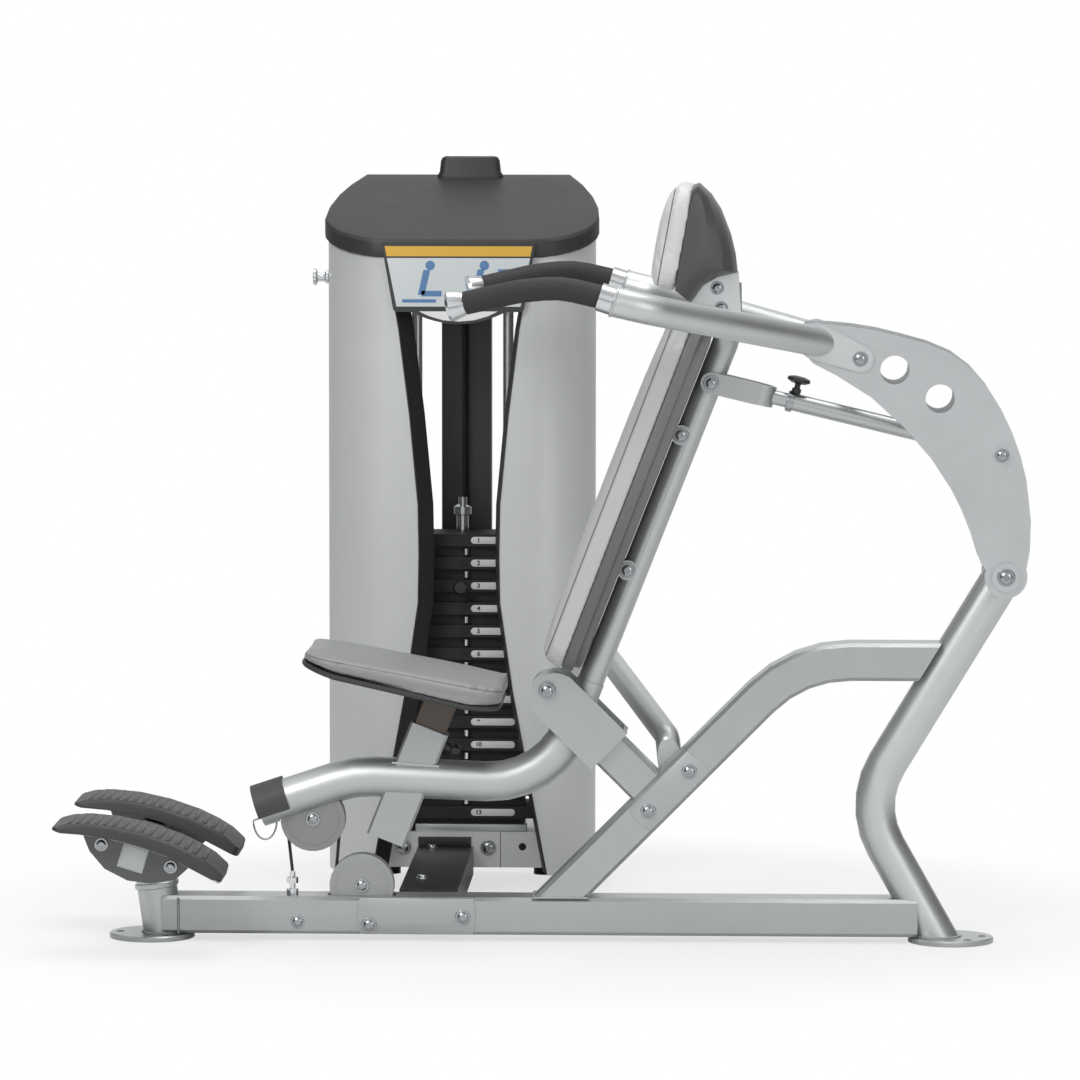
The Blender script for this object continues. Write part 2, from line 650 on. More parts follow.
for name, sign in (("left", -1), ("right", 1)):
    rings = []
    for z, opening in list(OPENING) + [(panel_high, OPENING_TOP_HALF)]:
        level = (z - PANEL_BOTTOM) / (panel_high - PANEL_BOTTOM)
        outer = panel_plan(opening, 0.0)
        inner = panel_plan(opening, PANEL_THICKNESS)
        heights = [PANEL_BOTTOM + level * (cap_underside(y) - WELD_GAP - PANEL_BOTTOM) for x, y in outer]
        ring = [(TOWER_X + sign * x, y, high) for (x, y), high in zip(outer, heights)]
        ring += [(TOWER_X + sign * x, y, high) for (x, y), high in zip(inner[::-1], heights[::-1])]
        rings.append(ring)
    loft("panel_" + name, rings, PANEL_GREY, strip=True)

# Sloping cap with the pulley cover on it
cap_half = TOWER_HALF + CAP_OVERHANG
cap_front = TOWER_FRONT - CAP_OVERHANG
cap_side = side_line(cap_half, TOWER_BACK)
cap_plan = arc((cap_half - PANEL_CORNER, cap_front + PANEL_CORNER), PANEL_CORNER, 0, -90, 7)
cap_plan += arc((PANEL_CORNER - cap_half, cap_front + PANEL_CORNER), PANEL_CORNER, -90, -180, 7)
cap_plan += [(-x, y) for x, y in cap_side[::-1]] + cap_side
cap_mid_y = (TOWER_FRONT + TOWER_BACK) / 2
cap_rings = []
for scale, lift in ((0.985, 0.0), (1.0, 0.004), (1.0, CAP_FASCIA - 0.006), (0.985, CAP_FASCIA - 0.001),
                    (0.965, CAP_FASCIA),
                    (0.80, CAP_FASCIA + 0.002), (0.40, CAP_FASCIA + 0.003)):
    ring = []
    for x, y in cap_plan:
        y = cap_mid_y + (y - cap_mid_y) * scale
        ring.append((TOWER_X + x * scale, y, cap_underside(y) + lift))
    cap_rings.append(ring)
tower_cap = loft("tower_cap", cap_rings, CAP_GREY)
cover_y = TOWER_BACK - COVER_DEPTH / 2 + 0.004
cover_low = cap_underside(cover_y) + 0.006
cover_seat = cover_low + CAP_FASCIA
cover_top = cover_seat + COVER_RISE
cover_plan = round_rectangle(COVER_HALF, COVER_DEPTH / 2, 0.014, 4)
cover_rings = []
for scale, height in ((1.05, cover_low), (1.05, cover_seat - 0.004), (0.98, cover_seat + 0.002),
                      (0.94, cover_seat + 0.74 * COVER_RISE), (0.88, cover_top - 0.06 * COVER_RISE),
                      (0.80, cover_top)):
    cover_rings.append([(TOWER_X + 0.004 + x * scale, cover_y + y * scale, height) for x, y in cover_plan])
fuse(tower_cap, loft("pulley_cover", cover_rings, CAP_GREY))

# Placard across the top of the opening, and the towel peg
PLACARD_HALF = 0.137
PLACARD_LOW_HALF = 0.116
PLACARD_TOP = 1.1675
PLACARD_LOW = 1.0445
LENS_HALF = 0.084
LENS_DIP = 0.0215
placard_outline = [(-PLACARD_HALF, PLACARD_TOP), (PLACARD_HALF, PLACARD_TOP),
                   (PLACARD_LOW_HALF, PLACARD_LOW + 0.004),
                   (PLACARD_LOW_HALF - 0.006, PLACARD_LOW)]
for i in range(13):
    x = LENS_HALF * (1 - i / 6)
    placard_outline.append((x, PLACARD_LOW - LENS_DIP * (1 - (x / LENS_HALF) ** 2)))
placard_outline += [(0.006 - PLACARD_LOW_HALF, PLACARD_LOW), (-PLACARD_LOW_HALF, PLACARD_LOW + 0.004)]
plate("placard", [(TOWER_X + x, z) for x, z in placard_outline], cap_front - 0.007, cap_front - WELD_GAP,
      PLACARD_PLASTIC)
peg_root = (TOWER_X - TOWER_HALF - WELD_GAP, wide_y, 1.101)
lathe("towel_peg", peg_root, (-1, 0, 0), [(0.012, 0.0), (0.012, 0.004), (0.0085, 0.007), (0.0085, 0.019),
                                          (0.015, 0.022),
                                         (0.015, 0.026), (0.012, 0.0275)], CHROME, 20)

# Weight plates on their guide rods
plate_front = STACK_Y - PLATE_HALF_DEPTH


def plate_stack(name, first, count, finish, low_foot):
    """Plates with narrower spacers between them, as one block."""
    rings = []

    def ring(half_x, half_y, z):
        rings.append([(TOWER_X + x, STACK_Y + y, z) for x, y in
                      ((-half_x, -half_y), (half_x, -half_y), (half_x, half_y), (-half_x, half_y))])

    spacer_x = ROD_SPREAD + 0.030
    spacer_y = PLATE_HALF_DEPTH - 0.012
    for i in range(count):
        middle = FIRST_PLATE_Z + (first + i) * PLATE_PITCH
        low = middle - PLATE_THICKNESS / 2
        start = low_foot if i == 0 else low - (PLATE_PITCH - PLATE_THICKNESS)
        if i == 0:
            ring(spacer_x, spacer_y, start)
        ring(spacer_x, spacer_y, low)
        ring(PLATE_HALF_WIDTH, PLATE_HALF_DEPTH, low)
        ring(PLATE_HALF_WIDTH, PLATE_HALF_DEPTH, low + PLATE_THICKNESS)
        if i < count - 1:
            ring(spacer_x, spacer_y, low + PLATE_THICKNESS)
    made = loft(name, rings, finish)
    for sign in (-1, 1):
        x = TOWER_X + sign * ROD_SPREAD
        cut(made, rod("guide_bore", (x, STACK_Y, 0.05), (x, STACK_Y, 0.75), ROD_RADIUS + SLIDE_GAP, finish,
                      16))
    return made


lifted_start = FIRST_PLATE_Z + RESTING_PLATES * PLATE_PITCH - PLATE_THICKNESS / 2
rest_top = lifted_start - (PLATE_PITCH - PLATE_THICKNESS)
plate_stack("resting_plates", 0, RESTING_PLATES, BLACK_IRON, BASE_TOP + WELD_GAP)
lifted = plate_stack("lifted_plates", RESTING_PLATES, LIFTED_PLATES, BLACK_IRON, rest_top + WELD_GAP)
stack_top = lifted_start + (LIFTED_PLATES - 1) * PLATE_PITCH + PLATE_THICKNESS
selector_profile = [(SELECTOR_RADIUS, 0.0003), (SELECTOR_RADIUS, 0.030), (0.016, 0.032), (0.016, 0.046),
                    (0.008, 0.050), (0.008, SELECTOR_TOP - stack_top)]
lathe("selector_rod", (TOWER_X, STACK_Y, stack_top), Z_AXIS, selector_profile, CHROME, 16)
pin_z = lifted_start + PLATE_THICKNESS / 2
lathe("selector_pin", (TOWER_X, plate_front - WELD_GAP, pin_z), (0, -1, 0),
      [(0.0045, 0.0), (0.0045, 0.014), (0.011, 0.016), (0.013, 0.030), (0.010, 0.036)], CHROME, 16)

# Carriage tube: front run, level run under the seat, then up beside its pivot
back_dir = Vector((math.cos(BACK_LEAN), 0, math.sin(BACK_LEAN)))


def on_back_line(z):
    start = Vector(flat(CARRIAGE_CORNER_2))
    return start + back_dir * ((z - start.z) / back_dir.z)


carriage_path = rounded([flat(CARRIAGE_FRONT), flat(CARRIAGE_CORNER_1), flat(CARRIAGE_CORNER_2),
                         on_back_line(CARRIAGE_NECK[0][0])], [CARRIAGE_BEND_1, CARRIAGE_BEND_2])
carriage_sizes = [1.0] * len(carriage_path) + [CARRIAGE_NECK[1][1]] * 2
carriage_path += [on_back_line(CARRIAGE_NECK[1][0]), on_back_line(CARRIAGE_TOP_Z)]
carriage_tube = sweep("carriage_tube", carriage_path, circle(FRAME_RADIUS), SILVER, sizes=carriage_sizes)
hub_reach = BRACKET_INNER - PIVOT_GAP / 3
fuse(carriage_tube, rod("hub", pivot - Y_AXIS * hub_reach, pivot + Y_AXIS * hub_reach, CARRIAGE_HUB_RADIUS,
                        SILVER, 24))
line_foot = on_back_line(CARRIAGE_CORNER_2[1])
web_end = line_foot + back_dir * (pivot - line_foot).dot(back_dir)
web_high = back_dir * (CARRIAGE_HUB_RADIUS - 0.004)
hub_web = [pivot + web_high, web_end + web_high, web_end - web_high, pivot - web_high]
hub_web_half = CARRIAGE_HUB_RADIUS - 0.008
fuse(carriage_tube, plate("hub_web", [(spot.x, spot.z) for spot in hub_web], -hub_web_half, hub_web_half,
                          SILVER))
seat_dir = Vector((math.sin(SEAT_LEAN), 0, math.cos(SEAT_LEAN)))
seat_side = Vector((math.cos(SEAT_LEAN), 0, -math.sin(SEAT_LEAN)))
sleeve_top = Vector(flat(SLEEVE_TOP))
sleeve_low = sleeve_top - seat_dir * SLEEVE_LENGTH


def sleeve_ring(at, size, chamfer):
    return [at + seat_side * a + Y_AXIS * b for a, b in rectangle(size[0], size[1], chamfer)]


sleeve_hole = [s + 2 * WELD_GAP for s in SLEEVE_OUTER]
cut(carriage_tube, loft("sleeve_hole", [sleeve_ring(sleeve_low, sleeve_hole, 0.004),
                                        sleeve_ring(sleeve_top, sleeve_hole, 0.004)],
                        SILVER))
pulley_mid = Vector(flat(CARRIAGE_PULLEY))
cut(carriage_tube, rod("pulley_slot", pulley_mid - Y_AXIS * slot_half, pulley_mid + Y_AXIS * slot_half,
                       slot_reach, SILVER, 32))
loft("seat_sleeve", [sleeve_ring(sleeve_low, SLEEVE_OUTER, 0.004),
                     sleeve_ring(sleeve_top, SLEEVE_OUTER, 0.004),
                     sleeve_ring(sleeve_top, SLEEVE_INNER, 0.003), sleeve_ring(sleeve_low, SLEEVE_INNER,
                                                                               0.003)],
     SILVER, wrap=True)

# Rubber boot round the front end, open underneath
front_dir = (Vector(flat(CARRIAGE_CORNER_1)) - Vector(flat(CARRIAGE_FRONT))).normalized()
front_up = Vector((-front_dir.z, 0, front_dir.x))
boot_rings = []
for along in (-0.004, BOOT_LENGTH):
    ring = []
    for radius, angles in ((FRAME_RADIUS + BOOT_THICKNESS, np.linspace(-BOOT_WRAP, BOOT_WRAP, 19)),
                           (FRAME_RADIUS + SLIDE_GAP, np.linspace(BOOT_WRAP, -BOOT_WRAP, 19))):
        for a in np.radians(angles):
            ring.append(Vector(flat(CARRIAGE_FRONT)) + front_dir * along + front_up * (radius * math.cos(a))
                        + Y_AXIS * (radius * math.sin(a)))
    boot_rings.append(ring)
loft("tube_boot", boot_rings, RUBBER, strip=True)

# Pulleys on the carriage and in the rail
for name, centre in (("carriage", CARRIAGE_PULLEY), ("base", BASE_PULLEY)):
    pulley(name + "_pulley", flat(centre), Y_AXIS, PULLEY_PITCH, PULLEY_BLACK)
    cheeks = rod(name + "_cheeks", flat(centre, -CHEEK_OUTER), flat(centre, -CHEEK_INNER), CHEEK_RADIUS,
                 DARK_PAINT, 28)
    fuse(cheeks, rod("far_cheek", flat(centre, CHEEK_INNER), flat(centre, CHEEK_OUTER), CHEEK_RADIUS,
                     DARK_PAINT, 28))
    fuse(cheeks, rod("axle", flat(centre, -CHEEK_OUTER + 0.001), flat(centre, CHEEK_OUTER - 0.001),
                     AXLE_RADIUS,
                     DARK_PAINT, 16))
lathe("cable_anchor", (ANCHOR_X, 0, RAIL_TOP + WELD_GAP), Z_AXIS,
      [(0.010, 0.0), (0.010, 0.009), (0.005, 0.0095), (0.005, 0.018), (0.010, 0.0185), (0.010, 0.028),
       (0.005, 0.030),
       (0.005, ANCHOR_TOP - RAIL_TOP)], CHROME, 12)

# Back upright, bent nearly plumb behind the head rest
back_start = on_back_line(CARRIAGE_TOP_Z) + back_dir * WELD_GAP
back_path = rounded([back_start, on_back_line(BACK_CORNER_Z), flat(BACK_TOP)], [0.100])
back_upright = sweep("back_upright", back_path, circle(BACK_TUBE_RADIUS, 20), SILVER)
TAB_RADIUS = 0.017
TAB_Z = (0.628, 0.857)
TAB_AHEAD = 0.012
TAB_INNER = 0.0180
TAB_OUTER = 0.0245
back_ahead = Vector((-back_dir.z, 0, back_dir.x))
for z in TAB_Z:
    tab = on_back_line(z) + back_ahead * TAB_AHEAD
    for sign in (-1, 1):
        fuse(back_upright, rod("tab", tab + Y_AXIS * sign * TAB_INNER, tab + Y_AXIS * sign * TAB_OUTER,
                               TAB_RADIUS,
                               SILVER, 18))

# Seat post, pan and cushion
pan_at = Vector(flat(SEAT_MID))
pan_along = Vector((math.cos(SEAT_SLOPE), 0, -math.sin(SEAT_SLOPE)))
pan_up = Vector((math.sin(SEAT_SLOPE), 0, math.cos(SEAT_SLOPE)))


def on_seat(u, v, n):
    spot = pan_at + pan_along * u + pan_up * n
    return (spot.x, v, spot.z)


def pan_bottom(u, v):
    return 0.453 * u * u - 0.0344 * u - 0.0534


def pan_top(u, v):
    return pan_bottom(u, v) + SEAT_PAN


def cushion_bottom(u, v):
    return pan_top(u, v) + 2 * WELD_GAP


def cushion_top(u, v):
    return -0.010 * (v / SEAT_HALF_WIDTH) ** 2 - 0.004 * (u / SEAT_HALF_LENGTH) ** 2


post_size = [s - 2 * SLIDE_GAP for s in SLEEVE_INNER]
post_low = sleeve_low + seat_dir * 0.012
post_high = sleeve_top + seat_dir * 0.050
post_stop = (Vector((-0.187, 0, 0.4155)), Vector((0.126, 0, 1.0)))
sweep("seat_post", [post_low, post_high], [(-a, b) for a, b in rectangle(post_size[0], post_size[1],
                                                                         0.003)], DARK_PAINT,
      end=post_stop)
seat_outline = round_rectangle(SEAT_HALF_LENGTH, SEAT_HALF_WIDTH, 0.060,5)
pan_profile = [(0.06, 0.0), (0.30, 0.0), (0.60, 0.0), (0.95, 0.0), (0.965, 0.3), (0.965, 0.8),
               (0.955, 0.97), (0.93, 1.0),
               (0.60, 1.0), (0.30, 1.0), (0.06, 1.0)]
padding("seat_pan", on_seat, seat_outline, pan_bottom, pan_top, pan_profile, SHELL_GREY)
PAD_PROFILE = [(0.06, 0.0), (0.30, 0.0), (0.60, 0.0), (0.975, 0.0), (0.990, 0.06), (0.999, 0.25), (1.0, 0.50),
               (0.998, 0.74), (0.985, 0.90), (0.955, 0.985), (0.90, 1.0), (0.865, 0.985), (0.85, 0.955),
               (0.835, 0.985), (0.60, 1.0), (0.35, 1.0), (0.12, 1.0)]
padding("seat_cushion", on_seat, seat_outline, cushion_bottom, cushion_top, PAD_PROFILE, VINYL)
pin_root = sleeve_top - seat_dir * 0.020 + seat_side * (SLEEVE_OUTER[0] / 2 + WELD_GAP)
lathe("seat_pin", pin_root, seat_side, [(0.009, 0.0), (0.009, 0.010), (0.005, 0.011), (0.005, 0.014),
                                        (0.010, 0.015),
                                       (0.0115, 0.022), (0.009, 0.028)], RUBBER, 16)

# Back cushion on its shell, with side tabs round the upright
back_along = Vector((math.cos(BACK_ANGLE), 0, math.sin(BACK_ANGLE)))
back_front = Vector((-math.sin(BACK_ANGLE), 0, math.cos(BACK_ANGLE)))
back_plane = Vector(flat(BACK_FACE_MID)) - back_front * BACK_CUSHION


def on_back(u, v, n):
    spot = back_plane + back_along * u + back_front * n
    return (spot.x, v, spot.z)


def back_top_face(u, v):
    return BACK_CUSHION - 0.008 * (v / BACK_HALF_WIDTH) ** 2 - 0.004 * (u / BACK_HALF_LENGTH) ** 4


back_outline = round_rectangle(BACK_HALF_LENGTH, BACK_HALF_WIDTH, 0.050,5)
padding("back_cushion", on_back, back_outline, lambda u, v: 0.0, back_top_face, PAD_PROFILE, VINYL)
shell_slope = back_along.dot(back_ahead) / back_front.dot(back_ahead)
shell_reach = (back_plane - on_back_line(CARRIAGE_TOP_Z)).dot(back_ahead) - BACK_TUBE_RADIUS - PIVOT_GAP


def shell_back(u, v):
    """How far behind the cushion the upright's front face lies."""
    return -(shell_reach / back_front.dot(back_ahead)) - shell_slope * u


shell_rings = []
for fraction, depth in ((0.40, 1.0), (0.925, 1.0), (0.950, 0.93), (0.955, 0.60), (0.960, 0.56), (0.975, 0.54),
                        (0.985, 0.50), (0.987, 0.10), (0.975, 0.0), (0.40, 0.0)):
    ring = []
    for u, v in back_outline:
        deep = shell_back(u * fraction, v) if depth > 0.56 else -BACK_SHELL
        share = depth if depth > 0.56 else depth / 0.56
        ring.append(on_back(u * fraction, v * fraction, -WELD_GAP + (deep + WELD_GAP) * share))
    shell_rings.append(ring)
back_shell = loft("back_shell", shell_rings, SHELL_GREY)
for z in TAB_Z:
    tab = on_back_line(z) + back_ahead * TAB_AHEAD
    pocket = TAB_OUTER + SLIDE_GAP
    cut(back_shell, rod("tab_pocket", tab - Y_AXIS * pocket, tab + Y_AXIS * pocket, TAB_RADIUS + SLIDE_GAP,
                        SHELL_GREY, 18))

# Head rest: cushion, deep shell behind it and the bracket on the upright
head_along = Vector((math.cos(HEAD_ANGLE), 0, math.sin(HEAD_ANGLE)))
head_front = Vector((-math.sin(HEAD_ANGLE), 0, math.cos(HEAD_ANGLE)))
head_plane = Vector(flat(HEAD_BACK_MID))
HEAD_SHELL_SIDE = ((0.2706, 1.2851), (0.2908, 1.2666), (0.3076, 1.2413), (0.3245, 1.1992), (0.3329, 1.1655),
                   (0.3363, 1.1368), (0.3009, 1.1283), (0.2773, 1.1147), (0.2588, 1.0877))
HEAD_SHELL_EDGE = ((1.0, 0.20, 0.84), (0.96, 0.48, 0.92), (0.85, 0.74, 0.97), (0.65, 0.90, 0.99),
                   (0.35, 0.98, 1.0))


def on_head(u, v, n):
    spot = head_plane + head_along * u + head_front * n
    return (spot.x, v, spot.z)


def head_top_face(u, v):
    return HEAD_CUSHION - 0.012 * max(0.0, u / HEAD_HALF_LENGTH) ** 2 - 0.009 * (v / HEAD_HALF_WIDTH) ** 2


head_outline = round_rectangle(HEAD_HALF_LENGTH, HEAD_HALF_WIDTH, 0.045,5)
padding("head_cushion", on_head, head_outline, lambda u, v: 0.0, head_top_face, PAD_PROFILE, VINYL)
shell_side = []
for spot in HEAD_SHELL_SIDE:
    away = Vector(flat(spot)) - head_plane
    shell_side.append((away.dot(head_along), -away.dot(head_front)))
shell_side = [(HEAD_HALF_LENGTH * 0.97, 0.0)] + shell_side + [(-HEAD_HALF_LENGTH * 0.97, 0.0)]
shell_half = HEAD_HALF_WIDTH * 0.97
head_stations = list(HEAD_SHELL_EDGE) + [(-v, deep, length) for v, deep, length in HEAD_SHELL_EDGE[::-1]]
shell_rings = []
for v, deep, length in head_stations:
    shell_rings.append([on_head(u * length, v * shell_half, -WELD_GAP - d * deep) for u, d in shell_side])
head_shell = loft("head_shell", shell_rings, SHELL_GREY)
BRACKET_TOP = ((0.2588, 1.0877), (0.2773, 1.1147), (0.3009, 1.1283), (0.3363, 1.1368))
BRACKET_FOOT_Z = 1.060
BRACKET_HEEL = ((0.3417, BRACKET_FOOT_Z), (0.2588, BRACKET_FOOT_Z))
HEAD_PLATE = 0.006
plate_in = BACK_TUBE_RADIUS + PIVOT_GAP / 2
plate_out = plate_in + HEAD_PLATE
recess = [(BRACKET_TOP[0][0] - SLIDE_GAP, BRACKET_FOOT_Z)] + [(x - SLIDE_GAP, z + SLIDE_GAP) for x,
                                                              z in BRACKET_TOP]
recess += [(0.40, BRACKET_TOP[-1][1] + SLIDE_GAP), (0.40, BRACKET_FOOT_Z)]
cut(head_shell, plate("recess", recess, -plate_out - SLIDE_GAP, plate_out + SLIDE_GAP, SHELL_GREY))
bracket_side = list(BRACKET_TOP) + list(BRACKET_HEEL)
back_face = [(0.2593, BRACKET_FOOT_Z + 0.0005), (0.2593, 1.0870), (0.2653, 1.0950),
             (0.2653, BRACKET_FOOT_Z + 0.0005)]
head_bracket = plate("head_bracket", back_face, -plate_in - 0.003, plate_in + 0.003, SILVER)
for sign in (-1, 1):
    ends = sorted((sign * plate_in, sign * plate_out))
    fuse(head_bracket, plate("side", bracket_side, ends[0], ends[1], SILVER))

# Link: clevis on the upright, rod inside a tube, hub between the arm plates
link_start = Vector(flat(LINK_PIVOT))
link_end = Vector(flat(ARM_LINK_PIVOT))
link_dir = (link_end - link_start).normalized()
link_up = Vector((-link_dir.z, 0, link_dir.x))
link_length = (link_end - link_start).length
strap_in = BACK_TUBE_RADIUS + PIVOT_GAP
strap_out = strap_in + STRAP_PLATE
strap_half = STRAP_HEIGHT / 2


def link_point(along, up):
    spot = link_start + link_dir * along + link_up * up
    return (spot.x, spot.z)


strap_run = CLEVIS_LENGTH - strap_out
strap = [link_point(a, u) for a, u in arc((0, 0), strap_half, 90, 270, 10)]
strap += [link_point(strap_run + 0.002, -strap_half), link_point(strap_run + 0.002, strap_half)]
bend_plan = arc((strap_run, 0), strap_out, -90, 90, 12) + arc((strap_run, 0), strap_in, 90, -90, 12)
bend_half = strap_half - 0.0004
bend_rings = []
for up in (-bend_half, bend_half):
    ring = []
    for along, y in bend_plan:
        x, z = link_point(along, up)
        ring.append((x, y * 0.998, z))
    bend_rings.append(ring)
link_clevis = plate("link_clevis", strap, -strap_out, -strap_in, SILVER)
fuse(link_clevis, plate("far_strap", strap, strap_in, strap_out, SILVER))
fuse(link_clevis, loft("clevis_bend", bend_rings, SILVER, strip=True))
fuse(link_clevis, rod("inner_rod", link_start + link_dir * (CLEVIS_LENGTH - 0.005),
                      link_start + link_dir * 0.300,
                      INNER_ROD_RADIUS, SILVER, 20))
for sign in (-1, 1):
    fuse(link_clevis, rod("clevis_bolt", link_start + Y_AXIS * sign * (strap_out - 0.003),
                          link_start + Y_AXIS * sign * (strap_out + 0.008), 0.011, SILVER, 12))
tube_bore = INNER_ROD_RADIUS + SLIDE_GAP / 2
link_tube = rod("link_tube", link_start + link_dir * LINK_TUBE_START, link_end - link_dir * 0.005,
                LINK_TUBE_RADIUS, SILVER, 20)
cut(link_tube, rod("bore", link_start + link_dir * 0.1, link_start + link_dir * 0.320, tube_bore, SILVER, 20))
link_hub_half = ARM_INNER_Y - PIVOT_GAP
fuse(link_tube, rod("hub", link_end - Y_AXIS * link_hub_half, link_end + Y_AXIS * link_hub_half,
                    LINK_HUB_RADIUS, SILVER, 20))
knob_root = link_start + link_dir * KNOB_AT + link_up * (LINK_TUBE_RADIUS + WELD_GAP)
KNOB_PROFILE = [(0.008, 0.0), (0.008, 0.008), (0.005, 0.009), (0.005, 0.016), (0.012, 0.017), (0.020, 0.021),
                (0.0195, 0.026), (0.010, 0.029)]
lathe("link_knob", knob_root, link_up, KNOB_PROFILE, RUBBER, 16)

# Press arm plates, drawn about their pivot
OUTER_EDGE = ((-0.338, 0.423), (-0.300, 0.4225), (-0.261, 0.419), (-0.217, 0.412), (-0.176, 0.402),
              (-0.132, 0.390),
              (-0.092, 0.373), (-0.060, 0.349), (-0.033, 0.318), (-0.010, 0.282), (0.009, 0.242), (0.023,
                                                                                                   0.203),
              (0.033, 0.163), (0.041, 0.095), (0.0395, 0.045))
INNER_EDGE = ((-0.043, 0.024), (-0.055, 0.062), (-0.075, 0.112), (-0.092, 0.146), (-0.126, 0.198),
              (-0.168, 0.247),
              (-0.227, 0.301), (-0.286, 0.338), (-0.325, 0.358))
end_arc = arc((0.0, 0.0), 0.036, 20, -200, 16)
end_cap = [(-0.337, 0.372), (-0.343, 0.398)]
arm_outline = [(ARM_PIVOT[0] + x, ARM_PIVOT[1] + z) for x,
               z in list(OUTER_EDGE) + end_arc + list(INNER_EDGE) + end_cap]
LIGHTENING = ((-0.188, 0.347), (-0.112, 0.299))
arm_outer = ARM_INNER_Y + ARM_PLATE
pad_run = Vector((ARM_PAD_BOLT[0] - ARM_ROOT[0], ARM_PAD_BOLT[1] - ARM_ROOT[1]))
pad_turn = math.degrees(math.atan2(pad_run.y, pad_run.x))
pad_outline = arc(ARM_ROOT, 0.031, pad_turn + 80, pad_turn + 280, 12)
pad_outline += arc(ARM_PAD_BOLT, 0.022, pad_turn - 80, pad_turn + 80, 10)
for side_name, sign in (("near", -1), ("far", 1)):
    ends = sorted((sign * ARM_INNER_Y, sign * arm_outer))
    made = plate("arm_plate_" + side_name, arm_outline, ends[0], ends[1], SILVER)
    for x, z in LIGHTENING:
        x += ARM_PIVOT[0]
        z += ARM_PIVOT[1]
        cut(made, rod("hole", (x, ends[0] - 0.01, z), (x, ends[1] + 0.01, z), 0.0245, SILVER, 24))
    for spot, radius in ((ARM_PIVOT, 0.024), (ARM_LINK_PIVOT, 0.012)):
        fuse(made, rod("bolt", flat(spot, sign * (arm_outer - 0.003)),
                       flat(spot, sign * (arm_outer + 0.009)), radius, SILVER, 16))
    tube_path = rounded([(ARM_ROOT[0], sign * arm_outer, ARM_ROOT[1]),
                         (ARM_ELBOW[0], sign * ARM_ELBOW[1], ARM_ELBOW[2]),
                         (ARM_COLLAR[0], sign * ARM_COLLAR[1], ARM_COLLAR[2])], [0.090])
    grip_start = Vector((ARM_COLLAR[0], sign * ARM_COLLAR[1], ARM_COLLAR[2]))
    stations = [Vector((x, sign * y, z)) for x, y, z in GRIP_POINTS]
    first_dir = (stations[0] - grip_start).normalized()
    sweep("arm_tube_" + side_name, tube_path, circle(ARM_TUBE_RADIUS, 20), SILVER,
          start=((0, sign * (arm_outer + WELD_GAP), 0), Y_AXIS), end=(grip_start, first_dir), side=Z_AXIS)
    pad = [sign * (arm_outer + WELD_GAP), sign * (arm_outer + ARM_PAD)]
    fuse(bpy.data.objects["arm_tube_" + side_name], plate("pad", pad_outline, min(pad), max(pad), SILVER))
    curve = rounded([stations[0]] + stations[1:3] + [stations[3]], [0.150, 0.200])
    last_dir = (curve[-1] - curve[-2]).normalized()
    bar_path = [stations[0] - first_dir * 0.005] + curve + [curve[-1] + last_dir * 0.005]
    handle = sweep("handle_bar_" + side_name, bar_path, circle(BAR_RADIUS, 20), CHROME, side=Z_AXIS)
    fuse(handle, sweep("collar", [grip_start + first_dir * WELD_GAP, stations[0] - first_dir * WELD_GAP],
                       circle(0.0235, 20), CHROME, side=Z_AXIS))
    fuse(handle, lathe("cap", curve[-1] + last_dir * WELD_GAP, last_dir,
                       [(0.018, 0.0), (0.0205, 0.004), (0.0235, 0.016), (0.0255, 0.024),
                        (0.024, 0.029)], CHROME, 20))
    grip = sweep("grip_" + side_name, curve, circle(GRIP_RADIUS, 20), RUBBER,
                 start=(stations[0], first_dir), side=Z_AXIS)
    cut(grip, sweep("grip_bore", bar_path, circle(BAR_RADIUS + WELD_GAP, 20), RUBBER, side=Z_AXIS))
CROSS_PIVOT = (ARM_PIVOT[0] - 0.246, ARM_PIVOT[1] + 0.366)
cross_half = ARM_INNER_Y - WELD_GAP
rod("arm_crossbar", flat(CROSS_PIVOT, -cross_half), flat(CROSS_PIVOT, cross_half), 0.019, SILVER, 20)

# Tower brace from the frame brace to the right panel
BRACE_FOOT = (0.224, 0.030, 0.282)
BRACE_KNEE = (0.2175, 0.060, 0.340)
BRACE_HEAD = (TOWER_X + TOWER_HALF - 0.01, TOWER_FRONT + 0.106, 0.462)
tower_brace_path = rounded([BRACE_FOOT, BRACE_KNEE, BRACE_HEAD], [0.030])
sweep("tower_brace", tower_brace_path, circle(0.021, 20), SILVER,
      start=((0, RAIL_WIDTH / 2 + WELD_GAP, 0), Y_AXIS),
      end=((TOWER_X + TOWER_HALF + WELD_GAP, 0, 0), (1, 0, 0)), side=Z_AXIS)


# Cable in three lengths: over the carriage pulley, through the frame, and down to the plates
def cable(name, points):
    curve = bpy.data.curves.new(name, "CURVE")
    curve.dimensions = "3D"
    curve.bevel_depth = CABLE_RADIUS
    curve.bevel_resolution = 2
    curve.use_fill_caps = True
    line = curve.splines.new("POLY")
    line.points.add(len(points) - 1)
    for spot, p in zip(line.points, points):
        spot.co = (p[0], p[1], p[2], 1.0)
    curve.materials.append(CABLE_BLACK)
    made = bpy.data.objects.new(name, curve)
    bpy.context.scene.collection.objects.link(made)
    return made


def spaced(first, last, step=0.016):
    first = Vector(first)
    last = Vector(last)
    count = max(1, round((last - first).length / step))
    return [first + (last - first) * (i / count) for i in range(count)]


def arc_y(centre, radius, first, last, steps):
    return [Vector((x, 0.0, z)) for x, z in arc(centre, radius, first, last, steps)]


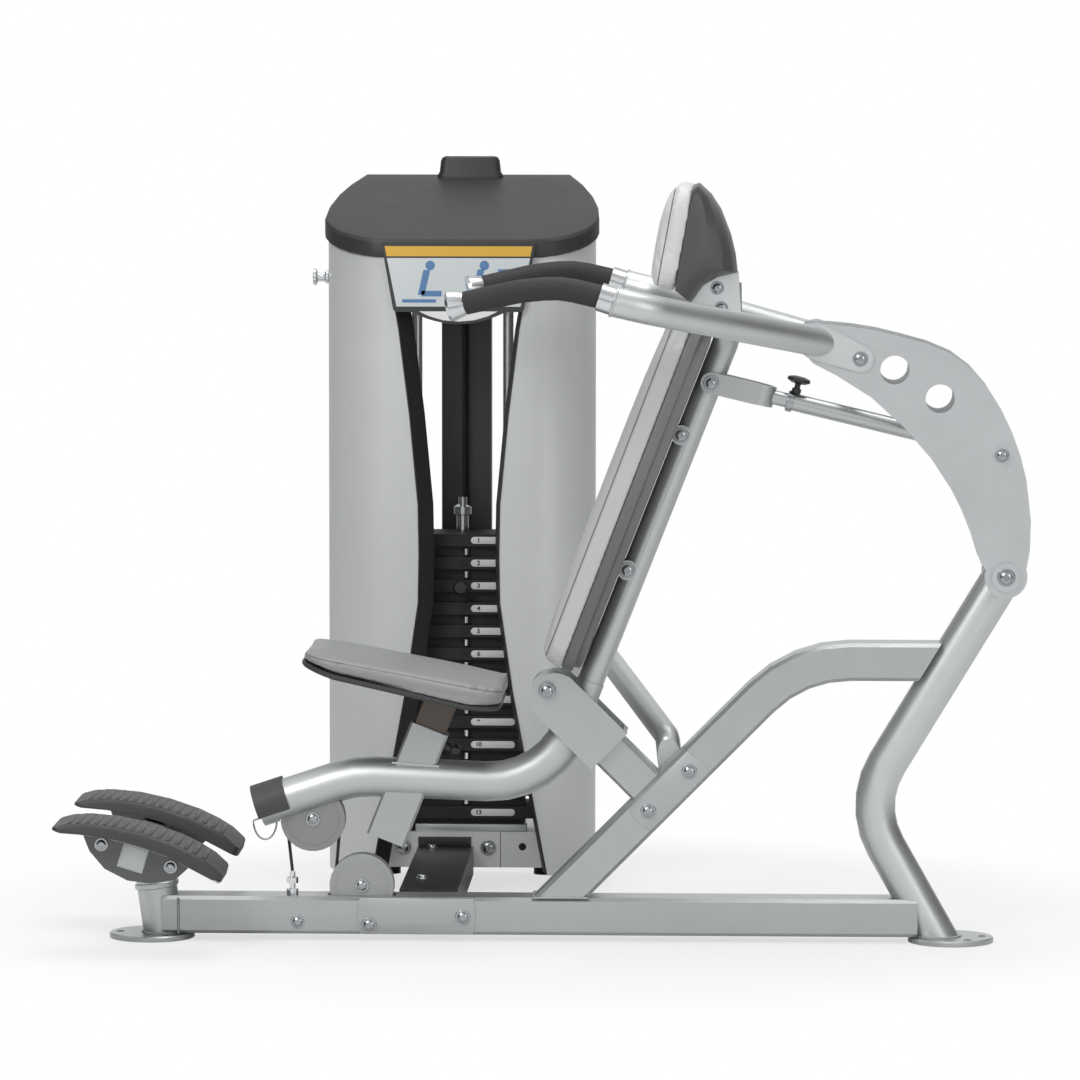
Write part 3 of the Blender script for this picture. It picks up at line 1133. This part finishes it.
over = arc_y(CARRIAGE_PULLEY, PULLEY_PITCH, 175, -5, 16)
base_left = arc_y(BASE_PULLEY, PULLEY_PITCH, 180, 270, 8)
cable("carriage_cable", spaced((ANCHOR_X, 0, ANCHOR_TOP + CABLE_END_GAP), over[0]) + over[:-1]
      + spaced(over[-1], base_left[0] + Z_AXIS * CABLE_END_GAP) + [base_left[0] + Z_AXIS * CABLE_END_GAP])
corner = [Vector((TOWER_X - 0.044 + 0.044 * math.sin(a), 0.044 - 0.044 * math.cos(a), CABLE_Z))
          for a in np.radians(np.linspace(0, 90, 8))]
low_turn = [Vector((TOWER_X, low_y + LOW_PITCH * math.sin(a), low_z - LOW_PITCH * math.cos(a)))
            for a in np.radians(np.linspace(0, 90, 7))]
rise_y = low_y + LOW_PITCH
high_turn = [Vector((TOWER_X, top_y + TOP_PITCH * math.cos(a), top_z + TOP_PITCH * math.sin(a)))
             for a in np.radians(np.linspace(0, 180, 15))]
cable("frame_cable", base_left + corner + low_turn + high_turn)
cable("stack_cable", spaced(high_turn[-1] - Z_AXIS * WELD_GAP, (TOWER_X, STACK_Y, SELECTOR_TOP + WELD_GAP),
                            0.03)
      + [Vector((TOWER_X, STACK_Y, SELECTOR_TOP + WELD_GAP))])

# Joint axes, and the whole machine set over its own footprint's middle
machine = bpy.data.objects.new("machine", None)
bpy.context.scene.collection.objects.link(machine)
AXES = {
    "carriage_axis": (flat(CARRIAGE_PIVOT), (
        "carriage_tube", "seat_sleeve", "tube_boot", "carriage_cheeks", "back_upright", "back_cushion",
        "back_shell", "head_cushion", "head_shell", "head_bracket")),
    "seat_axis": (tuple(sleeve_top), ("seat_post", "seat_pan", "seat_cushion")),
    "seat_pin_axis": (tuple(pin_root), ("seat_pin",)),
    "carriage_pulley_axis": (flat(CARRIAGE_PULLEY), ("carriage_pulley",)),
    "base_pulley_axis": (flat(BASE_PULLEY), ("base_pulley",)),
    "top_pulley_axis": ((TOWER_X, top_y, top_z), ("top_pulley",)),
    "link_axis": (flat(LINK_PIVOT), ("link_clevis", "link_tube")),
    "link_knob_axis": (tuple(knob_root), ("link_knob",)),
    "arm_axis": (flat(ARM_PIVOT), tuple(n + s for s in ("near", "far") for n in (
        "arm_plate_", "arm_tube_", "handle_bar_", "grip_")) + ("arm_crossbar",)),
    "lift_axis": ((TOWER_X, STACK_Y, stack_top), ("lifted_plates", "selector_rod")),
    "selector_pin_axis": ((TOWER_X, plate_front, pin_z), ("selector_pin",)),
}
pieces = [o for o in bpy.context.scene.objects if o.type in ("MESH", "CURVE")]
bpy.context.view_layer.update()
corners = np.array([o.matrix_world @ Vector(c) for o in pieces for c in o.bound_box])
low = corners.min(axis=0)
high = corners.max(axis=0)
shift = Vector((-(low[0] + high[0]) / 2, -(low[1] + high[1]) / 2, -low[2]))
held = set()
for name, (spot, members) in AXES.items():
    axis = bpy.data.objects.new(name, None)
    bpy.context.scene.collection.objects.link(axis)
    axis.parent = machine
    axis.location = spot
    for member in members:
        piece = bpy.data.objects[member]
        piece.parent = axis
        piece.location = -Vector(spot)
        held.add(member)
for piece in pieces:
    if piece.name not in held:
        piece.parent = machine
machine.location = shift
